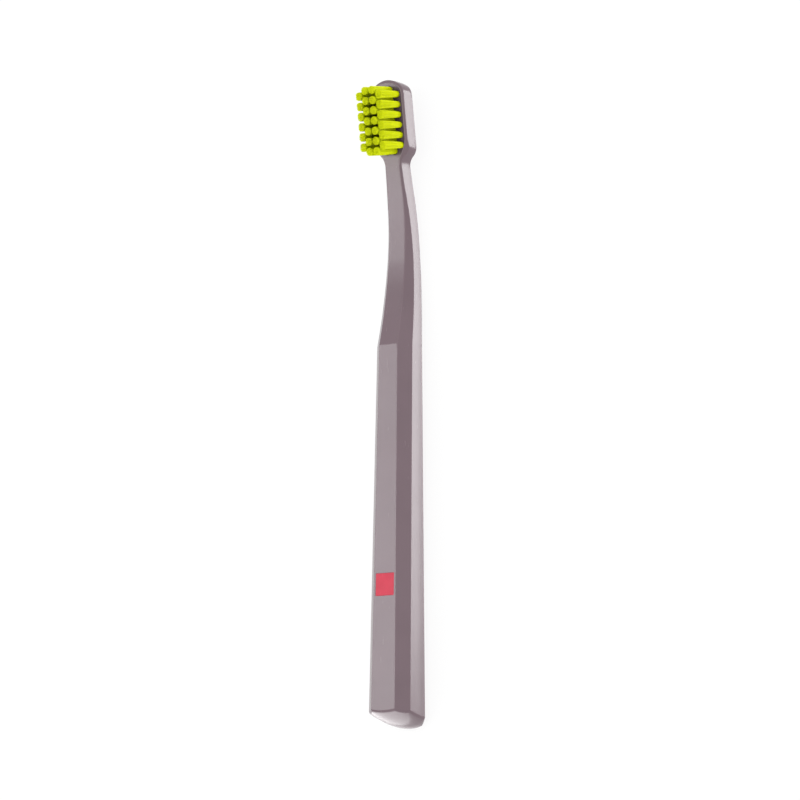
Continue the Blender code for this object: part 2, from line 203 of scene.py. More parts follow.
# Shapes along the neck, as rows of (share of the neck's length, share of the way).
# Width and chamfer go from 1 at the crease to 0 at the head.
WIDTH_SHARES = ((0, 1), (0.2, 0.79), (0.4, 0.585), (0.6, 0.38), (0.8, 0.19), (0.9, 0.07), (1, 0))
CHAMFER_SHARES = ((0, 1), (0.2, 0.783), (0.4, 0.57), (0.6, 0.353), (0.8, 0.119), (0.9, 0.026), (1, 0))
# Heights fall from 1 at the crease to 0 at the waist, and rise again to 1 at the head.
FRONT_FALL_SHARES = ((0, 1), (0.1, 0.725), (0.2, 0.483), (0.4, 0.137), (0.5, 0.035), (0.6, 0), (1, 0))
FRONT_RISE_SHARES = ((0, 0), (0.6, 0), (0.7, 0.08), (0.8, 0.313), (0.9, 0.64), (1, 1))
FOOT_FALL_SHARES = ((0, 1), (0.2, 0.395), (0.4, 0.03), (0.5, 0), (1, 0))
FOOT_RISE_SHARES = ((0, 0), (0.5, 0), (0.6, 0.03), (0.8, 0.37), (0.9, 0.66), (1, 1))
BACK_RISE_SHARES = ((0, 0), (0.4, 0), (0.6, 0.044), (0.8, 0.43), (0.9, 0.7), (1, 1))

# Places along the brush that follow from the lengths
SHOULDER_START = GRIP_LENGTH + NECK_LENGTH
HEAD_START = SHOULDER_START + SHOULDER_LENGTH
TIP_START = HEAD_START + HEAD_STRAIGHT_LENGTH
BRUSH_LENGTH = TIP_START + TIP_LENGTH
FIELD_MIDDLE = BRUSH_LENGTH - FIELD_MIDDLE_FROM_TIP

# Painted shade of the tufts on the front of the head
SHADE_START = SHOULDER_START + 2.2 * MM
SHADE_END = TIP_START + 3.5 * MM
SHADE_FADE = 1.0 * MM
SHADE_TOLERANCE = 0.005 * MM

# Camera: its angle round the brush and towards the tail, its distance, and what it looks at
CAMERA_ROUND = math.radians(36.88)
CAMERA_DOWN = math.radians(7.0)
CAMERA_DISTANCE = 1.4
CAMERA_TARGET = Vector((0, -0.33 * MM, 5 * MM))
CAMERA_RAISE = 1.21 * MM
CAMERA_ASIDE = 0.07 * MM
CAMERA_NEAREST = 0.1
CAMERA_FURTHEST = 20
LENS = 233.7
SENSOR_WIDTH = 36

# Surround: its level, how much brighter its bright side is, and where that side is
AMBIENT_LEVEL = 0.742
AMBIENT_SHADING = 0.69
BRIGHT_SIDE = (43.1, 11.6)
WHITE = (1, 1, 1, 1)

# Table top, which glows nearly as white as the surround
TABLE_REACH = 3.0
TABLE_DROP = 0.02 * MM
TABLE_COLOUR = (0.14, 0.14, 0.14, 1)
TABLE_GLOW = 0.88

# Colours of the plastic: its two tones, its paler edges, its scuffs, and the painted shade of the tufts
PLASTIC_TONE = (0.154, 0.105, 0.1235, 1)
PLASTIC_OTHER_TONE = (0.167, 0.114, 0.134, 1)
# Paler edges: slight wear, and a painted highlight along the front edge of the head
PLASTIC_EDGE_WEAR_AND_HIGHLIGHT = (0.27, 0.21, 0.235, 1)
PLASTIC_SCUFFED = (0.3, 0.23, 0.26, 1)
PLASTIC_SHADED = (0.075, 0.047, 0.1, 1)

# Colours of the filaments: their two tones, their darkest strands, painted shade inside a tuft and low inside
# it, painted light at their ends, and their sheen
FILAMENT_TONE = (0.77, 0.855, 0.004, 1)
FILAMENT_OTHER_TONE = (0.82, 0.90, 0.006, 1)
FILAMENT_STRAND = (0.58, 0.66, 0.003, 1)
FILAMENT_SHADE_INSIDE = (0.50, 0.57, 0.003, 1)
FILAMENT_SHADE_LOW = (0.10, 0.11, 0.0, 1)
FILAMENT_LIT_END = (0.86, 0.93, 0.02, 1)
FILAMENT_SHEEN = (0.9, 1.0, 0.2, 1)

# Colours of the badge and of the brass
BADGE_TONE = (0.55, 0.009, 0.043, 1)
BADGE_OTHER_TONE = (0.6, 0.013, 0.051, 1)
BADGE_SCUFFED = (0.8, 0.3, 0.32, 1)
BRASS_TONE = (0.72, 0.50, 0.20, 1)
BRASS_OTHER_TONE = (0.60, 0.40, 0.16, 1)

# A cross-section of the handle: half its width at the parting line, its front chamfer, and how high its
# front, the foot of its side and its back are
Section = namedtuple("Section", "half_width chamfer front foot back")

# The effects that the materials share, and what a started material offers to its own tints
Effects = namedtuple("Effects", "drift handling grain")
Look = namedtuple("Look", "material tree shader tone scuffs")


# Sections of the handle

def between(start, end, share):
    """The value at a share of the way from start to end."""
    return start + (end - start) * share


def smooth(rows, at):
    """Reads a table of (place, value) rows at a place, along a curve that never overshoots its rows."""
    slopes = [(b[1] - a[1]) / (b[0] - a[0]) for a, b in zip(rows, rows[1:])]
    bends = [slopes[0]]
    for before, after in zip(slopes, slopes[1:]):
        same_way = before * after > 0
        bends.append(2 * before * after / (before + after) if same_way else 0)
    bends.append(slopes[-1])
    for i, (a, b) in enumerate(zip(rows, rows[1:])):
        if at <= b[0] or i == len(slopes) - 1:
            step = b[0] - a[0]
            t = (at - a[0]) / step
            rise = (3 - 2 * t) * t * t
            leave = t * (1 - t) * (1 - t) * bends[i]
            arrive = t * t * (t - 1) * bends[i + 1]
            return a[1] + rise * (b[1] - a[1]) + step * (leave + arrive)


def grip_section(y):
    """The octagon of the grip."""
    share = y / GRIP_LENGTH
    chamfer = between(TAIL_CHAMFER, CREASE_CHAMFER, share)
    return Section(
        half_width=between(TAIL_WIDTH, CREASE_WIDTH, share) / 2,
        chamfer=chamfer,
        front=between(TAIL_HEIGHT, CREASE_HEIGHT, share),
        foot=chamfer,
        back=0,
    )


def neck_section(y):
    """The neck between the crease and the shoulder."""
    share = (y - GRIP_LENGTH) / NECK_LENGTH
    fall, rise = smooth(FRONT_FALL_SHARES, share), smooth(FRONT_RISE_SHARES, share)
    foot_fall, foot_rise = smooth(FOOT_FALL_SHARES, share), smooth(FOOT_RISE_SHARES, share)
    head_back = HEAD_ROOT_FOOT_HEIGHT - HEAD_BACK_CHAMFER
    return Section(
        half_width=between(NECK_WIDTH, CREASE_WIDTH, smooth(WIDTH_SHARES, share)) / 2,
        chamfer=between(NECK_CHAMFER, CREASE_CHAMFER, smooth(CHAMFER_SHARES, share)),
        front=WAIST_HEIGHT + fall * (CREASE_HEIGHT - WAIST_HEIGHT) + rise * (HEAD_ROOT_HEIGHT - WAIST_HEIGHT),
        foot=WAIST_FOOT_HEIGHT
        + foot_fall * (CREASE_CHAMFER - WAIST_FOOT_HEIGHT)
        + foot_rise * (HEAD_ROOT_FOOT_HEIGHT - WAIST_FOOT_HEIGHT),
        back=head_back * smooth(BACK_RISE_SHARES, share),
    )


def shoulder_half_width(y):
    """Half the width where the neck swells into the head: a hollow arc, then a round one, of one radius."""
    swell = (HEAD_WIDTH - NECK_WIDTH) / 2
    turn = 2 * math.atan2(swell, SHOULDER_LENGTH)
    radius = SHOULDER_LENGTH / 2 / math.sin(turn)
    run = min(max(y - SHOULDER_START, 0), SHOULDER_LENGTH)
    if run <= SHOULDER_LENGTH / 2:
        return NECK_WIDTH / 2 + radius - math.sqrt(radius * radius - run * run)
    left = SHOULDER_LENGTH - run
    return HEAD_WIDTH / 2 - radius + math.sqrt(radius * radius - left * left)


def scallop(y):
    """How much deeper the front chamfer is where it sweeps round the shoulder."""
    middle = HEAD_START - SCALLOP_REACH / 2
    off = abs(y - middle) / SCALLOP_REACH
    return SCALLOP_DEPTH * math.cos(off * math.pi / 2) ** 2 if off < 1 else 0


def head_climb(y):
    """How far the leaning head has risen since the shoulder."""
    return math.tan(HEAD_LEAN_ANGLE) * (y - SHOULDER_START)


def head_section(y):
    """The shoulder and the head, a slab between two leaning planes."""
    swollen = min((y - SHOULDER_START) / SHOULDER_LENGTH, 1)
    foot = HEAD_ROOT_FOOT_HEIGHT + head_climb(y)
    return Section(
        half_width=shoulder_half_width(y),
        chamfer=between(NECK_CHAMFER, HEAD_CHAMFER, swollen) + scallop(y),
        front=HEAD_ROOT_HEIGHT + head_climb(y),
        foot=foot,
        back=foot - HEAD_BACK_CHAMFER,
    )


def section_at(y):
    """The section at any place along the brush."""
    if y < GRIP_LENGTH:
        return grip_section(y)
    if y < SHOULDER_START:
        return neck_section(y)
    return head_section(y)


def eased_section(y):
    """The section with the kinks along the brush rounded off a little."""
    taps = [section_at(y + CREASE_EASE * tap) for tap in EASE_TAPS]
    return Section(*[sum(values) / len(taps) for values in zip(*taps)])


def tail_dome(x, z):
    """Where the end face of the tail lies, from its furthest point. It is flatter across near the front."""
    up = z - TAIL_APEX_HEIGHT
    flatter = 1 - TAIL_DOME_FLATTENING * (z / TAIL_HEIGHT) ** 3
    return flatter * x * x / (2 * TAIL_DOME_RADIUS_ACROSS) + up * up / (2 * TAIL_DOME_RADIUS_UP)


# Small helpers

def finish_mesh(bm, name):
    """Turns a bmesh into a mesh and frees it."""
    mesh = bpy.data.meshes.new(name)
    bm.to_mesh(mesh)
    bm.free()
    return mesh


def add_object(name, data):
    """A linked object."""
    obj = bpy.data.objects.new(name, data)
    bpy.context.scene.collection.objects.link(obj)
    return obj


def steps_between(start, end, count):
    """Evenly spaced places after start, up to and with end."""
    return [between(start, end, step / count) for step in range(1, count + 1)]


def to_middle():
    """Moves what is measured from the tail into the frame, whose origin is under the middle."""
    return Matrix.Translation((0, -BRUSH_LENGTH / 2, 0))


def head_frame(x, y):
    """A frame on the front of the head: its z axis points along the tufts."""
    front = Matrix.Translation((x, y, HEAD_ROOT_HEIGHT + head_climb(y)))
    return to_middle() @ front @ Matrix.Rotation(HEAD_LEAN_ANGLE, 4, "X")


def grip_frame(y):
    """A frame on the front facet of the grip: its z axis points out of the facet."""
    slope = math.atan2(TAIL_HEIGHT - CREASE_HEIGHT, GRIP_LENGTH)
    front = Matrix.Translation((0, y, grip_section(y).front))
    return to_middle() @ front @ Matrix.Rotation(-slope, 4, "X")


def soften_shading(obj, sharp_angle):
    """Smooth shading that keeps flat facets flat and sharp edges sharp."""
    obj.data.shade_smooth()
    obj.data.set_sharp_from_angle(angle=sharp_angle)
    weighted = obj.modifiers.new("facets stay flat", "WEIGHTED_NORMAL")
    weighted.keep_sharp = True
    weighted.weight = 100


# Mesh of the handle

def rounded(before, corner, after, radius):
    """A round corner on a path that turns clockwise: its points, each with how near it is to the crown."""
    arriving, leaving = corner - before, after - corner
    turn = arriving.angle(leaving)
    if turn < SMALLEST_TURN:
        return [(corner, 0)]
    room = EDGE_ROOM_SHARE * min(arriving.length, leaving.length)
    radius = min(radius, room / math.tan(turn / 2))
    inward = (leaving.normalized() - arriving.normalized()).normalized()
    centre = corner + inward * (radius / math.cos(turn / 2))
    points = []
    for step in range(CORNER_STEPS + 1):
        angle = turn * (0.5 - step / CORNER_STEPS)
        crown = min(1.0, 2 - 2 * abs(2 * step / CORNER_STEPS - 1))
        points.append((centre + Matrix.Rotation(angle, 2) @ -inward * radius, crown))
    return points


def outline(section, inset=0.0):
    """The right-hand half of a section from front to back, drawn in by an inset, as (point, crown) rows.

    An inset shortens a chamfer of 45 degrees by the narrowing.
    """
    narrowing = inset * (2 - math.sqrt(2))
    half_width = section.half_width - inset
    chamfer = section.chamfer - narrowing
    front, back = section.front - inset, section.back + inset
    foot = back + section.foot - section.back - narrowing
    top = front - chamfer
    side = half_width - math.tan(DRAFT_ANGLE) * (top - foot) / 2
    path = [
        Vector((0, front)),
        Vector((side - chamfer, front)),
        Vector((side, top)),
        Vector((half_width, (top + foot) / 2)),
        Vector((side, foot)),
        Vector((side - (foot - back), back)),
        Vector((0, back)),
    ]
    radius = max(EDGE_RADIUS - inset, SMALLEST_EDGE_RADIUS)
    bends = [[(path[0], 0)]]
    for before, corner, after in zip(path, path[1:], path[2:]):
        bends.append(rounded(before, corner, after, radius))
    bends.append([(path[-1], 0)])
    rows = []
    for bend, following, parts in zip(bends, bends[1:], FLAT_PARTS):
        start, end = bend[-1][0], following[0][0]
        rows += bend
        rows += [(start.lerp(end, part / parts), 0) for part in range(1, parts)]
    return rows + bends[-1]


def level_ring(y):
    """A half ring across the brush at one y."""
    return [Vector((p.x, y, p.y)) for p, _ in outline(eased_section(y))]


def rim_ring(turn):
    """A half ring of the rounded rim of the tail: 0 is on the end face and 90 degrees on the walls."""
    inset = RIM_RADIUS * (1 - math.sin(turn))
    ring = []
    for i in range(len(outline(grip_section(0)))):
        y = 0
        for _ in range(SETTLE_ROUNDS):
            p = outline(grip_section(y), inset)[i][0]
            y = tail_dome(p.x, p.y) + RIM_RADIUS * (1 - math.cos(turn))
        ring.append(Vector((p.x, y, p.y)))
    return ring


def tip_ring(turn):
    """A half ring where the outline of the head has turned from its side (0) to its tip (90 degrees)."""
    flat = head_section(TIP_START)
    fullness = 1 + TIP_FULLNESS * math.sin(2 * turn) ** 2
    ring = []
    for p, _ in outline(flat)[1:-1]:
        inset = flat.half_width - p.x
        widening = min(TIP_CHAMFER_GROWTH * min(inset, HEAD_CHAMFER), (TIP_LENGTH - inset) / 2)
        run = (TIP_LENGTH - inset - widening * math.sin(turn)) * math.sin(turn)
        rise = math.tan(HEAD_LEAN_ANGLE) * run
        ring.append(Vector((p.x * math.cos(turn) * fullness, TIP_START + run, p.y + rise)))
    first, last = ring[0], ring[-1]
    return [Vector((0, first.y, first.z))] + ring + [Vector((0, last.y, last.z))]


def dome_ring(rim, share):
    """A half ring on the end face of the tail, at a share of the way from its furthest point to the rim."""
    ring = []
    for p in rim:
        x, z = p.x * share, between(TAIL_APEX_HEIGHT, p.z, share)
        ring.append(Vector((x, tail_dome(x, z), z)))
    return ring


def ring_places():
    """Where rings lie between the rim of the tail and the tip, closer together at a kink."""
    near = [CREASE_EASE * step for step in KINK_STEPS]
    places = steps_between(TAIL_CLEAR, GRIP_LENGTH - CREASE_CLEAR, GRIP_STEPS)
    places += [GRIP_LENGTH + step for step in near]
    places += steps_between(GRIP_LENGTH + NECK_CLEAR, SHOULDER_START - NECK_CLEAR, NECK_STEPS)
    places += [SHOULDER_START + step for step in near]
    places += steps_between(SHOULDER_START + SHOULDER_CLEAR, HEAD_START + SCALLOP_REACH / 2, SHOULDER_STEPS)
    return places


def handle_rings():
    """The half rings of the whole handle, from the middle of the tail to the tip of the head."""
    quarter = math.pi / 2
    rim = rim_ring(0)
    rings = [dome_ring(rim, share) for share in steps_between(0, 1, DOME_STEPS)[:-1]]
    rings.append(rim)
    rings += [rim_ring(turn) for turn in steps_between(0, quarter, RIM_STEPS)]
    rings += [level_ring(y) for y in ring_places()]
    rings += [tip_ring(turn) for turn in [0] + steps_between(0, quarter, TIP_STEPS)]
    return rings


def edge_wear_and_highlight(on_head):
    """Paleness of each point of a half ring: slight wear on edges, a painted highlight on the head's front
    edge.
    """
    front_edge = range(FLAT_PARTS[0], FLAT_PARTS[0] + CORNER_STEPS + 1)
    paleness = []
    for i, (_, crown) in enumerate(outline(grip_section(0))):
        most = on_head and i in front_edge
        paleness.append(crown if most else crown * USUAL_EDGE_WEAR)
    return paleness


def handle_mesh():
    """The moulding as one closed skin, with a mask of its paler edges: wear, and a painted highlight on the
    head.
    """
    bm = bmesh.new()
    edge = bm.verts.layers.float.new("edge")
    apex = bm.verts.new((0, 0, TAIL_APEX_HEIGHT))
    usual_paleness, head_paleness = edge_wear_and_highlight(False), edge_wear_and_highlight(True)
    previous = None
    for ring in handle_rings():
        points = ring + [Vector((-p.x, p.y, p.z)) for p in ring[-2:0:-1]]
        paleness = head_paleness if ring[0].y > SHOULDER_START else usual_paleness
        current = []
        for p, value in zip(points, paleness + paleness[-2:0:-1]):
            vert = bm.verts.new(p)
            vert[edge] = value
            current.append(vert)
        for i in range(len(current)):
            j = (i + 1) % len(current)
            if previous:
                bm.faces.new((previous[i], current[i], current[j], previous[j]))
            else:
                bm.faces.new((apex, current[i], current[j]))
        previous = current
    bmesh.ops.remove_doubles(bm, verts=bm.verts, dist=WELD_DISTANCE)
    bmesh.ops.dissolve_degenerate(bm, edges=bm.edges, dist=WELD_DISTANCE)
    bmesh.ops.recalc_face_normals(bm, faces=bm.faces)
    return finish_mesh(bm, "handle_moulding")


def tuft_places():
    """Name and place of each tuft, column by column from the left and from the tip down."""
    across = (-OUTER_COLUMN_PLACE, -INNER_COLUMN_PLACE, INNER_COLUMN_PLACE, OUTER_COLUMN_PLACE)
    pitch = TUFT_PITCH * math.cos(HEAD_LEAN_ANGLE)
    places = []
    for column, (x, count) in enumerate(zip(across, TUFTS_PER_COLUMN), start=1):
        for row in range(count):
            places.append((f"{column}_{row + 1}", x, FIELD_MIDDLE + pitch * ((count - 1) / 2 - row)))
    return places


def add_turned(bm, rows, sides, frame):
    """A closed turned solid from (height, radius) rows, in a frame."""
    rings = []
    for height, radius in rows:
        ring = []
        for i in range(sides):
            angle = 2 * math.pi * i / sides
            corner = Vector((math.cos(angle) * radius, math.sin(angle) * radius, height))
            ring.append(bm.verts.new(frame @ corner))
        rings.append(ring)
    for low, high in zip(rings, rings[1:]):
        for i in range(sides):
            j = (i + 1) % sides
            bm.faces.new((low[i], low[j], high[j], high[i]))
    bm.faces.new(rings[0][::-1])
    bm.faces.new(rings[-1])


def hole_cutter():
    """Blind holes with a slightly flared mouth, and the recess of the badge."""
    bm = bmesh.new()
    rows = (
        (-HOLE_DEPTH, HOLE_RADIUS),
        (-HOLE_FLARE, HOLE_RADIUS),
        (0, HOLE_RADIUS + HOLE_FLARE),
        (OVERRUN, HOLE_RADIUS + HOLE_FLARE),
    )
    for _, x, y in tuft_places():
        add_turned(bm, rows, HOLE_SIDES, head_frame(x, y))
    side = BADGE_SIZE + 2 * BADGE_GAP
    depth = BADGE_THICKNESS + BADGE_GAP
    middle = Matrix.Translation((0, 0, (OVERRUN - depth) / 2))
    box = middle @ Matrix.Diagonal((side, side, depth + OVERRUN, 1))
    bmesh.ops.create_cube(bm, size=1, matrix=grip_frame(BADGE_PLACE) @ box)
    bmesh.ops.recalc_face_normals(bm, faces=bm.faces)
    return add_object("hole_cutter", finish_mesh(bm, "hole_cutter"))


def apply_modifiers(obj):
    """Applies an object's modifiers to its mesh."""
    depsgraph = bpy.context.evaluated_depsgraph_get()
    mesh = bpy.data.meshes.new_from_object(obj.evaluated_get(depsgraph))
    obj.modifiers.clear()
    obj.data = mesh


def mark_shade(mesh):
    """Marks the front of the head round the tufts, where their shade is painted."""
    shade = mesh.attributes.new("shade", "FLOAT", "POINT")
    for vert, mark in zip(mesh.vertices, shade.data):
        y = vert.co.y + BRUSH_LENGTH / 2
        front = HEAD_ROOT_HEIGHT + head_climb(y)
        if abs(vert.co.z - front) < SHADE_TOLERANCE:
            inside = min(y - SHADE_START, SHADE_END - y)
            mark.value = min(max(inside / SHADE_FADE, 0), 1)


def make_handle():
    """The handle with its holes."""
    mesh = handle_mesh()
    mesh.transform(to_middle())
    handle = add_object("handle_moulding", mesh)
    cutter = hole_cutter()
    cut = handle.modifiers.new("holes", "BOOLEAN")
    cut.operation = "DIFFERENCE"
    cut.solver = "EXACT"
    cut.object = cutter
    apply_modifiers(handle)
    bpy.data.objects.remove(cutter)
    mark_shade(handle.data)
    soften_shading(handle, HANDLE_SHARP_ANGLE)
    return handle


def make_badge():
    """A thin square plate with eased edges, flush with the grip."""
    bm = bmesh.new()
    middle = Matrix.Translation((0, 0, -BADGE_THICKNESS / 2))
    plate = Matrix.Diagonal((BADGE_SIZE, BADGE_SIZE, BADGE_THICKNESS, 1))
    bmesh.ops.create_cube(bm, size=1, matrix=middle @ plate)
    bmesh.ops.bevel(
        bm, geom=bm.edges[:], offset=BADGE_EDGE, segments=BADGE_EDGE_STEPS, affect="EDGES", profile=0.5
    )
    bm.transform(grip_frame(BADGE_PLACE))
    badge = add_object("badge_inlay", finish_mesh(bm, "badge_inlay"))
    soften_shading(badge, BADGE_SHARP_ANGLE)
    return badge


# Tufts

def filament_roots(rng):
    """Where the filaments of one tuft stand in its hole, as (x, y) rows."""
    rows = [(0.0, 0.0)]
    for ring in range(1, FILAMENT_RINGS + 1):
        count = FILAMENTS_IN_FIRST_RING * ring
        radius = ring * RING_PITCH
        start = rng.uniform(0, 2 * math.pi)
        for i in range(count):
            angle = start + 2 * math.pi * i / count
            rows.append((radius * math.cos(angle), radius * math.sin(angle)))
    return np.array(rows) + rng.normal(0, ROOT_SCATTER, (len(rows), 2))


def opened(roots, outer):
    """Where filaments end that stand at the roots. The outer tufts open wider along the brush and squarer."""
    if not outer:
        return roots * (1 + np.array(INNER_TIP_OPENING))
    angle = np.arctan2(roots[:, 1], roots[:, 0])
    squareness = 1 - TIP_SQUARENESS * np.cos(4 * angle)
    return roots * squareness[:, None] * (1 + np.array(OUTER_TIP_OPENING))


def light_reach(roots, x, ahead):
    """How freely light reaches each filament of a tuft: 1 on the outside of the field, 0 deep inside."""
    out_across = math.copysign(1, x) * roots[:, 0] / TUFT_ROOT_RADIUS
    out_along = math.copysign(1, ahead) * roots[:, 1] / TUFT_ROOT_RADIUS
    level, more = OUTER_COLUMN_REACH if abs(x) > INNER_COLUMN_PLACE else INNER_COLUMN_REACH
    reach = level + more * out_across
    if abs(ahead) > COLUMN_END_FROM_MIDDLE:
        level, more = COLUMN_END_REACH
        reach = np.maximum(reach, level + more * out_along)
    return np.clip(reach, 0, 1)


def filament_corners(roots, outer, lean, rng):
    """The corners of each filament, ring by ring from its sunk foot, and last the point of its end."""
    count = len(roots)
    full_length = OUTER_TUFT_LENGTH if outer else INNER_TUFT_LENGTH
    share_out = np.linalg.norm(roots, axis=1) / TUFT_ROOT_RADIUS
    dome = TIP_DOME_DROP * share_out ** TIP_DOME_POWER
    length = full_length - dome + rng.normal(0, LENGTH_SPREAD, count)
    opening = opened(roots, outer) - roots
    wander = rng.normal(0, WANDER, (count, 2))
    wander[:, 0] += lean
    turn = rng.uniform(0, 2 * math.pi, count)
    heights = [share * length for share in FILAMENT_LENGTH_SHARES]
    heights[0] = -TUFT_SINK / full_length * length
    heights[-2] = length - END_ROUND
    heights[-1] = length - LAST_RING_DROP_SHARE * END_ROUND
    corners = []
    for share, width_share, height in zip(FILAMENT_LENGTH_SHARES, FILAMENT_WIDTH_SHARES, heights):
        middle = roots + opening * share ** FLARE_BEND + wander * share ** 2
        for side in range(FILAMENT_SIDES):
            angle = turn + 2 * math.pi * side / FILAMENT_SIDES
            outward = np.stack((np.cos(angle), np.sin(angle)), axis=1)
            corner = middle + width_share * FILAMENT_RADIUS * outward
            corners.append(np.column_stack((corner, height)))
    corners.append(np.column_stack((roots + opening + wander, length)))
    return np.stack(corners, axis=1)


def filament_faces(count):
    """The faces of a number of filaments: their walls, their pointed ends and their feet."""
    sides = range(FILAMENT_SIDES)
    last = (len(FILAMENT_LENGTH_SHARES) - 1) * FILAMENT_SIDES
    point = last + FILAMENT_SIDES
    walls = []
    for low in range(0, last, FILAMENT_SIDES):
        high = low + FILAMENT_SIDES
        for side in sides:
            following = (side + 1) % FILAMENT_SIDES
            walls.append((low + side, low + following, high + following, high + side))
    ends = [(last + side, last + (side + 1) % FILAMENT_SIDES, point) for side in sides]
    foot = [tuple(reversed(sides))]
    first = (np.arange(count) * (point + 1))[:, None, None]
    faces = []
    for block in (walls, ends, foot):
        faces += (first + np.array(block)[None]).reshape(-1, len(block[0])).tolist()
    return faces


def add_values(mesh, name, values):
    """Gives each vertex a value that the material reads by its name."""
    attribute = mesh.attributes.new(name, "FLOAT", "POINT")
    attribute.data.foreach_set("value", values)


def tuft_mesh(name, x, ahead, rng):
    """A bundle of filaments that opens a little towards its flat end, ahead of the middle of the field."""
    outer = abs(x) > INNER_COLUMN_PLACE
    lean = -math.copysign(OUTER_TUFT_LEAN, x) if outer else 0
    roots = filament_roots(rng)
    corners = filament_corners(roots, outer, lean, rng)
    count, per_filament, _ = corners.shape
    mesh = bpy.data.meshes.new(name)
    mesh.from_pydata(corners.reshape(-1, 3).tolist(), [], filament_faces(count))
    along = np.append(np.repeat(FILAMENT_LENGTH_SHARES, FILAMENT_SIDES), 1.0)
    add_values(mesh, "tone", np.repeat(rng.uniform(0, 1, count), per_filament))
    add_values(mesh, "reach", np.repeat(light_reach(roots, x, ahead), per_filament))
    add_values(mesh, "along", np.tile(along, count))
    mesh.shade_smooth()
    mesh.update()
    return mesh


def make_tufts():
    """One bundle for each tuft solid, as (label, object) rows."""
    tufts = []
    for index, (label, x, y) in enumerate(tuft_places()):
        rng = np.random.default_rng(FIRST_SEED + index)
        mesh = tuft_mesh(f"bristle_tuft_{label}", x, y - FIELD_MIDDLE, rng)
        mesh.transform(head_frame(x, y))
        tufts.append((label, add_object(f"bristle_tuft_{label}", mesh)))
    return tufts


# Effects that the materials share

def new_group(name, inputs, outputs):
    """An empty shader node group. inputs and outputs are (name, kind) rows of sockets."""
    group = bpy.data.node_groups.new(name, "ShaderNodeTree")
    for label, kind in inputs:
        group.interface.new_socket(label, in_out="INPUT", socket_type=f"NodeSocket{kind}")
    for label, kind in outputs:
        group.interface.new_socket(label, in_out="OUTPUT", socket_type=f"NodeSocket{kind}")
    return group


def add_node(tree, kind, at, **settings):
    """A node at a place in the tree, with its settings."""
    node = tree.nodes.new(kind)
    node.location = at
    for key, value in settings.items():
        setattr(node, key, value)
    return node


def set_inputs(node, values):
    """Sets the sockets of a node from a table of their names and values."""
    for label, value in values.items():
        node.inputs[label].default_value = value


def drift_group():
    """A colour that drifts between two tones in soft patches."""
    group = new_group(
        "tone_drift",
        [("Vector", "Vector"), ("Tone", "Color"), ("Other Tone", "Color"), ("Patches", "Float")],
        [("Color", "Color")],
    )
    start = add_node(group, "NodeGroupInput", (-700, 0))
    end = add_node(group, "NodeGroupOutput", (400, 0))
    link = group.links.new
    patches = add_node(group, "ShaderNodeTexNoise", (-450, 0))
    set_inputs(patches, {"Detail": 4})
    contrast = add_node(group, "ShaderNodeMapRange", (-200, 0), interpolation_type="SMOOTHSTEP")
    set_inputs(contrast, {"From Min": 0.3, "From Max": 0.7})
    mix = add_node(group, "ShaderNodeMix", (100, 0), data_type="RGBA")
    link(start.outputs["Vector"], patches.inputs["Vector"])
    link(start.outputs["Patches"], patches.inputs["Scale"])
    link(patches.outputs["Fac"], contrast.inputs["Value"])
    link(contrast.outputs["Result"], mix.inputs["Factor"])
    link(start.outputs["Tone"], mix.inputs["A"])
    link(start.outputs["Other Tone"], mix.inputs["B"])
    link(mix.outputs["Result"], end.inputs["Color"])
    return group


def handling_group():
    """Roughness that varies with handling: soft smudges and hair-fine scuffs along the brush."""
    group = new_group(
        "handling",
        [
            ("Vector", "Vector"),
            ("Roughness", "Float"),
            ("Smudge", "Float"),
            ("Scuff", "Float"),
            ("Scuff Count", "Float"),
        ],
        [("Roughness", "Float"), ("Scuffs", "Float")],
    )
    start = add_node(group, "NodeGroupInput", (-1000, 0))
    end = add_node(group, "NodeGroupOutput", (700, 0))
    link = group.links.new
    smudges = add_node(group, "ShaderNodeTexNoise", (-700, 250))
    set_inputs(smudges, {"Scale": 140, "Detail": 5, "Distortion": 0.6})
    stretch = add_node(group, "ShaderNodeVectorMath", (-850, -100), operation="MULTIPLY")
    stretch.inputs[1].default_value = (6, 0.7, 6)
    scuffs = add_node(group, "ShaderNodeTexNoise", (-650, -100))
    set_inputs(scuffs, {"Detail": 2})
    thin = add_node(group, "ShaderNodeMapRange", (-400, -100), interpolation_type="SMOOTHSTEP")
    set_inputs(thin, {"From Min": 0.68, "From Max": 0.74})
    centred = add_node(group, "ShaderNodeMath", (-450, 250), operation="SUBTRACT")
    centred.inputs[1].default_value = 0.5
    smudged = add_node(group, "ShaderNodeMath", (-200, 250), operation="MULTIPLY_ADD")
    scuffed = add_node(group, "ShaderNodeMath", (100, 100), operation="MULTIPLY_ADD", use_clamp=True)
    link(start.outputs["Vector"], smudges.inputs["Vector"])
    link(start.outputs["Vector"], stretch.inputs[0])
    link(stretch.outputs["Vector"], scuffs.inputs["Vector"])
    link(start.outputs["Scuff Count"], scuffs.inputs["Scale"])
    link(scuffs.outputs["Fac"], thin.inputs["Value"])
    link(smudges.outputs["Fac"], centred.inputs[0])
    link(centred.outputs["Value"], smudged.inputs[0])
    link(start.outputs["Smudge"], smudged.inputs[1])
    link(start.outputs["Roughness"], smudged.inputs[2])
    link(thin.outputs["Result"], scuffed.inputs[0])
    link(start.outputs["Scuff"], scuffed.inputs[1])
    link(smudged.outputs["Value"], scuffed.inputs[2])
    link(scuffed.outputs["Value"], end.inputs["Roughness"])
    link(thin.outputs["Result"], end.inputs["Scuffs"])
    return group


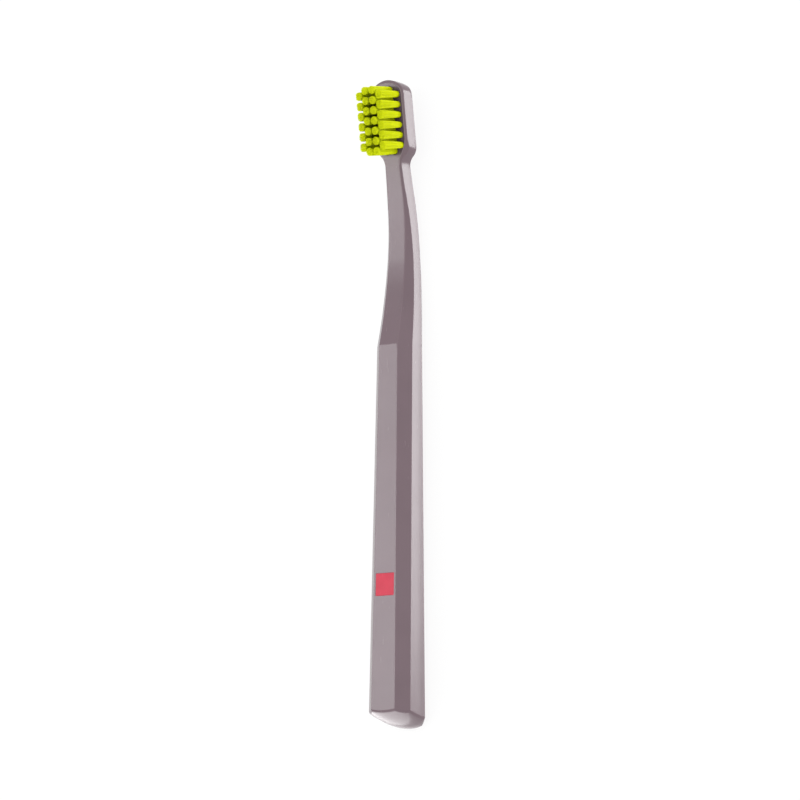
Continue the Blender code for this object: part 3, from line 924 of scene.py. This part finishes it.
def grain_group():
    """Fine grain that a sparked mould leaves, with a soft unevenness under it."""
    group = new_group(
        "mould_grain",
        [("Vector", "Vector"), ("Grain", "Float"), ("Swell", "Float"), ("Swell Share", "Float")],
        [("Height", "Float")],
    )
    start = add_node(group, "NodeGroupInput", (-700, 0))
    end = add_node(group, "NodeGroupOutput", (100, 0))
    link = group.links.new
    fine = add_node(group, "ShaderNodeTexNoise", (-450, 150))
    set_inputs(fine, {"Detail": 3, "Roughness": 0.6})
    broad = add_node(group, "ShaderNodeTexNoise", (-450, -150))
    set_inputs(broad, {"Detail": 2})
    mix = add_node(group, "ShaderNodeMix", (-150, 0), data_type="FLOAT")
    link(start.outputs["Vector"], fine.inputs["Vector"])
    link(start.outputs["Grain"], fine.inputs["Scale"])
    link(start.outputs["Vector"], broad.inputs["Vector"])
    link(start.outputs["Swell"], broad.inputs["Scale"])
    link(start.outputs["Swell Share"], mix.inputs["Factor"])
    link(fine.outputs["Fac"], mix.inputs["A"])
    link(broad.outputs["Fac"], mix.inputs["B"])
    link(mix.outputs["Result"], end.inputs["Height"])
    return group


# Materials

def place_group(tree, group, at, vector, values):
    """A group in a material, fed with coordinates and its own values."""
    node = add_node(tree, "ShaderNodeGroup", at, node_tree=group)
    tree.links.new(vector, node.inputs["Vector"])
    set_inputs(node, values)
    return node


def start_look(name, effects, drift, handling, grain, bump):
    """A material with worn roughness and fine grain. Its drifting tone and its scuffs are left to be linked.

    drift, handling and grain are the values of those effects. bump is how high and how strong the grain is.
    """
    material = bpy.data.materials.new(name)
    material.use_nodes = True
    tree = material.node_tree
    shader = tree.nodes["Principled BSDF"]
    vector = add_node(tree, "ShaderNodeTexCoord", (-1300, 0)).outputs["Object"]
    tone = place_group(tree, effects.drift, (-900, 300), vector, drift)
    marks = place_group(tree, effects.handling, (-900, 0), vector, handling)
    grained = place_group(tree, effects.grain, (-900, -300), vector, grain)
    bumped = add_node(tree, "ShaderNodeBump", (-300, -300))
    set_inputs(bumped, {"Distance": bump[0], "Strength": bump[1]})
    tree.links.new(marks.outputs["Roughness"], shader.inputs["Roughness"])
    tree.links.new(grained.outputs["Height"], bumped.inputs["Height"])
    tree.links.new(bumped.outputs["Normal"], shader.inputs["Normal"])
    return Look(material, tree, shader, tone.outputs["Color"], marks.outputs["Scuffs"])


def read_values(tree, name, at):
    """What the mesh says for each vertex under a name."""
    return add_node(tree, "ShaderNodeAttribute", at, attribute_name=name).outputs["Fac"]


def tint_where(tree, colour, mask, tint, share, at):
    """Mixes another colour into a colour where a mask says so."""
    beside = (at[0] - 200, at[1] - 150)
    scaled = add_node(tree, "ShaderNodeMath", beside, operation="MULTIPLY", use_clamp=True)
    scaled.inputs[1].default_value = share
    mix = add_node(tree, "ShaderNodeMix", at, data_type="RGBA")
    mix.inputs["B"].default_value = tint
    tree.links.new(mask, scaled.inputs[0])
    tree.links.new(scaled.outputs["Value"], mix.inputs["Factor"])
    tree.links.new(colour, mix.inputs["A"])
    return mix.outputs["Result"]


def fade_along(tree, along, start, end, at):
    """A mask that rises softly from 0 to 1 between two places along a filament."""
    mask = add_node(tree, "ShaderNodeMapRange", at, interpolation_type="SMOOTHSTEP")
    set_inputs(mask, {"From Min": start, "From Max": end})
    tree.links.new(along, mask.inputs["Value"])
    return mask.outputs["Result"]


def handle_material(effects):
    """Satin moulded plastic in a greyed mauve: edges paler by wear and a painted highlight; painted tuft
    shade.
    """
    look = start_look(
        "mauve_plastic",
        effects,
        drift={"Tone": PLASTIC_TONE, "Other Tone": PLASTIC_OTHER_TONE, "Patches": 70},
        handling={"Roughness": 0.22, "Smudge": 0.05, "Scuff": 0.06, "Scuff Count": 300},
        grain={"Grain": 8000, "Swell": 200, "Swell Share": 0.35},
        bump=(0.004 * MM, 0.6),
    )
    tree = look.tree
    edge = read_values(tree, "edge", (-900, 550))
    shade = read_values(tree, "shade", (-900, 750))
    # Paler edges: slight wear, and a painted highlight along the front edge of the head
    pale_edged = tint_where(tree, look.tone, edge, PLASTIC_EDGE_WEAR_AND_HIGHLIGHT, share=0.9, at=(-500, 350))
    scuffed = tint_where(tree, pale_edged, look.scuffs, PLASTIC_SCUFFED, share=0.06, at=(-250, 350))
    # Painted shade of the tufts on the front of the head
    shaded = tint_where(tree, scuffed, shade, PLASTIC_SHADED, share=0.85, at=(0, 350))
    tree.links.new(shaded, look.shader.inputs["Base Color"])
    set_inputs(look.shader, {"IOR": 1.5})
    return look.material


def filament_material(effects):
    """Opaque lime filament, paler at its end and deeper in colour where little light reaches.

    Those tints stand in for the light that a translucent filament passes on.
    """
    look = start_look(
        "lime_filament",
        effects,
        drift={"Tone": FILAMENT_TONE, "Other Tone": FILAMENT_OTHER_TONE, "Patches": 700},
        handling={"Roughness": 0.35, "Smudge": 0.08, "Scuff": 0.08, "Scuff Count": 900},
        grain={"Grain": 24000, "Swell": 3000, "Swell Share": 0.4},
        bump=(0.002 * MM, 0.5),
    )
    tree = look.tree
    link = tree.links.new
    strand = read_values(tree, "tone", (-900, 550))
    along = read_values(tree, "along", (-900, 750))
    reach = read_values(tree, "reach", (-900, 950))
    sheltered = add_node(tree, "ShaderNodeMath", (-650, 1150), operation="SUBTRACT")
    sheltered.inputs[0].default_value = 1.0
    link(reach, sheltered.inputs[1])
    buried = add_node(tree, "ShaderNodeMath", (-400, 1050), operation="MULTIPLY")
    link(sheltered.outputs["Value"], buried.inputs[0])
    link(fade_along(tree, along, start=0.85, end=0.2, at=(-650, 950)), buried.inputs[1])
    near_end = fade_along(tree, along, start=0.9, end=1.0, at=(-650, 750))
    inside, low_inside = sheltered.outputs["Value"], buried.outputs["Value"]
    varied = tint_where(tree, look.tone, strand, FILAMENT_STRAND, share=0.35, at=(-500, 350))
    # Painted shade inside the tufts, deepest low inside them, and painted light at the filaments' ends
    inner = tint_where(tree, varied, inside, FILAMENT_SHADE_INSIDE, share=1.0, at=(-250, 550))
    deep = tint_where(tree, inner, low_inside, FILAMENT_SHADE_LOW, share=0.9, at=(0, 550))
    ended = tint_where(tree, deep, near_end, FILAMENT_LIT_END, share=0.7, at=(250, 550))
    link(ended, look.shader.inputs["Base Color"])
    set_inputs(look.shader, {"IOR": 1.5, "Specular IOR Level": 0.05, "Specular Tint": FILAMENT_SHEEN})
    return look.material


def badge_material(effects):
    """Satin red inlay with faint moulding flow."""
    look = start_look(
        "badge_red",
        effects,
        drift={"Tone": BADGE_TONE, "Other Tone": BADGE_OTHER_TONE, "Patches": 400},
        handling={"Roughness": 0.42, "Smudge": 0.06, "Scuff": 0.1, "Scuff Count": 500},
        grain={"Grain": 7000, "Swell": 500, "Swell Share": 0.6},
        bump=(0.003 * MM, 0.5),
    )
    scuffed = tint_where(look.tree, look.tone, look.scuffs, BADGE_SCUFFED, share=0.1, at=(-250, 350))
    look.tree.links.new(scuffed, look.shader.inputs["Base Color"])
    set_inputs(look.shader, {"IOR": 1.5})
    return look.material


def brass_material(effects):
    """Rolled brass of the anchor plates, slightly tarnished."""
    look = start_look(
        "anchor_brass",
        effects,
        drift={"Tone": BRASS_TONE, "Other Tone": BRASS_OTHER_TONE, "Patches": 1500},
        handling={"Roughness": 0.3, "Smudge": 0.15, "Scuff": 0.15, "Scuff Count": 2500},
        grain={"Grain": 14000, "Swell": 2000, "Swell Share": 0.3},
        bump=(0.003 * MM, 0.6),
    )
    look.tree.links.new(look.tone, look.shader.inputs["Base Color"])
    set_inputs(look.shader, {"Metallic": 1.0})
    return look.material


# Studio

def studio_direction(round_degrees, up_degrees):
    """A direction from the brush: degrees from +Z round to +X, then towards the head."""
    turn, rise = math.radians(round_degrees), math.radians(up_degrees)
    return Vector((math.sin(turn) * math.cos(rise), math.sin(rise), math.cos(turn) * math.cos(rise)))


def white_to_eye(tree, at):
    """1 for rays that should see plain white: from the camera, and in reflections and through glass."""
    path = add_node(tree, "ShaderNodeLightPath", at)
    either = add_node(tree, "ShaderNodeMath", (at[0] + 200, at[1]), operation="MAXIMUM")
    any_of = add_node(tree, "ShaderNodeMath", (at[0] + 400, at[1]), operation="MAXIMUM")
    tree.links.new(path.outputs["Is Camera Ray"], either.inputs[0])
    tree.links.new(path.outputs["Is Glossy Ray"], either.inputs[1])
    tree.links.new(either.outputs["Value"], any_of.inputs[0])
    tree.links.new(path.outputs["Is Transmission Ray"], any_of.inputs[1])
    return any_of.outputs["Value"]


def make_world():
    """A surround that reads as plain white, and lights the brush more from the front on the right."""
    world = bpy.data.worlds.new("studio")
    bpy.context.scene.world = world
    world.use_nodes = True
    tree = world.node_tree
    tree.nodes.clear()
    link = tree.links.new
    coordinates = add_node(tree, "ShaderNodeTexCoord", (-700, 300))
    towards = add_node(tree, "ShaderNodeVectorMath", (-450, 300), operation="DOT_PRODUCT")
    towards.inputs[1].default_value = studio_direction(*BRIGHT_SIDE)
    level = add_node(tree, "ShaderNodeMath", (-200, 300), operation="MULTIPLY_ADD")
    level.inputs[1].default_value = AMBIENT_LEVEL * AMBIENT_SHADING
    level.inputs[2].default_value = AMBIENT_LEVEL
    ambient = add_node(tree, "ShaderNodeBackground", (0, 100))
    set_inputs(ambient, {"Color": WHITE})
    seen = add_node(tree, "ShaderNodeBackground", (0, -100))
    set_inputs(seen, {"Color": WHITE})
    mix = add_node(tree, "ShaderNodeMixShader", (300, 0))
    out = add_node(tree, "ShaderNodeOutputWorld", (500, 0))
    link(coordinates.outputs["Generated"], towards.inputs[0])
    link(towards.outputs["Value"], level.inputs[0])
    link(level.outputs["Value"], ambient.inputs["Strength"])
    link(white_to_eye(tree, (-700, 0)), mix.inputs["Fac"])
    link(ambient.outputs["Background"], mix.inputs[1])
    link(seen.outputs["Background"], mix.inputs[2])
    link(mix.outputs["Shader"], out.inputs["Surface"])


def make_floor():
    """A wide white table top that keeps a faint shadow."""
    bm = bmesh.new()
    bmesh.ops.create_grid(bm, x_segments=1, y_segments=1, size=TABLE_REACH)
    floor = add_object("table_top", finish_mesh(bm, "table_top"))
    floor.location.z = -TABLE_DROP
    white = bpy.data.materials.new("table_white")
    white.use_nodes = True
    shader = white.node_tree.nodes["Principled BSDF"]
    set_inputs(shader, {"Base Color": TABLE_COLOUR, "Roughness": 1.0, "Specular IOR Level": 0.0})
    set_inputs(shader, {"Emission Color": WHITE, "Emission Strength": TABLE_GLOW})
    floor.data.materials.append(white)
    floor.visible_shadow = False
    floor.visible_diffuse = False
    floor.visible_glossy = False


def add_softbox(name, side, distance, size, turn, radiance):
    """A soft lamp that looks at the brush from a side of the studio, turned by some degrees.

    A radiance of 1 is as bright as the white surround.
    """
    data = bpy.data.lights.new(name, "AREA")
    data.shape = "RECTANGLE"
    data.size, data.size_y = size
    data.energy = radiance * math.pi * size[0] * size[1]
    lamp = add_object(name, data)
    outward = studio_direction(*side)
    across = Vector((0, 1, 0)).cross(outward).normalized()
    facing = Matrix((across, outward.cross(across), outward)).transposed().to_4x4()
    placed = Matrix.Translation(outward * distance) @ facing
    lamp.matrix_world = placed @ Matrix.Rotation(math.radians(turn), 4, "Z")
    lamp.visible_camera = False


def make_lamps():
    """A strip light on the left above the brush, and four softboxes that shine up from under the table."""
    add_softbox("left_strip", (-38.0, 2.2), distance=0.75, size=(0.095, 0.466), turn=7.1, radiance=6.4)
    add_softbox("right_softbox", (139.6, 15.7), distance=0.9, size=(0.29, 0.49), turn=-14.2, radiance=6.75)
    add_softbox("tail_softbox", (-109.3, -50.1), distance=0.7, size=(0.57, 0.633), turn=-6.9, radiance=2.9)
    add_softbox("rim_softbox", (-141.0, -21.0), distance=0.7, size=(0.36, 0.36), turn=0, radiance=0.45)
    add_softbox("tip_softbox", (-156.0, 28.0), distance=0.7, size=(0.22, 0.2), turn=0, radiance=0.8)


def make_camera():
    """The camera at the photograph's angle."""
    level = math.cos(CAMERA_DOWN)
    outward = Vector((math.sin(CAMERA_ROUND) * level, -math.sin(CAMERA_DOWN), math.cos(CAMERA_ROUND) * level))
    right = Vector((math.cos(CAMERA_ROUND), 0, -math.sin(CAMERA_ROUND)))
    up = outward.cross(right)
    camera = add_object("camera", bpy.data.cameras.new("camera"))
    camera.data.lens = LENS
    camera.data.sensor_width = SENSOR_WIDTH
    camera.data.clip_start = CAMERA_NEAREST
    camera.data.clip_end = CAMERA_FURTHEST
    turn = Matrix((right, up, outward)).transposed().to_4x4()
    place = CAMERA_TARGET + outward * CAMERA_DISTANCE + up * CAMERA_RAISE + right * CAMERA_ASIDE
    camera.matrix_world = Matrix.Translation(place) @ turn
    bpy.context.scene.camera = camera


# Dressing the frame

def dress(piece, material, slot, *nodes):
    """Gives a piece its material and its place in the frame."""
    piece.data.materials.clear()
    piece.data.materials.append(material)
    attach(piece, "root")
    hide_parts(*nodes)


def paint_anchors(frame, brass):
    """The anchor plates keep their solids and get their brass."""
    for name, node in frame["nodes"].items():
        if name.startswith("anchor"):
            for slot in node.material_slots:
                slot.material = brass


def main():
    """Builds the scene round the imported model."""
    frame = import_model()
    make_camera()
    make_world()
    make_floor()
    make_lamps()
    effects = Effects(drift_group(), handling_group(), grain_group())
    plastic = handle_material(effects)
    filament = filament_material(effects)
    red = badge_material(effects)
    brass = brass_material(effects)
    dress(make_handle(), plastic, "handle_plastic", "handle")
    dress(make_badge(), red, "badge_red", "badge")
    for label, tuft in make_tufts():
        dress(tuft, filament, "filament", f"tuft_{label}")
    paint_anchors(frame, brass)
    bpy.context.scene.view_settings.view_transform = "Standard"


main()
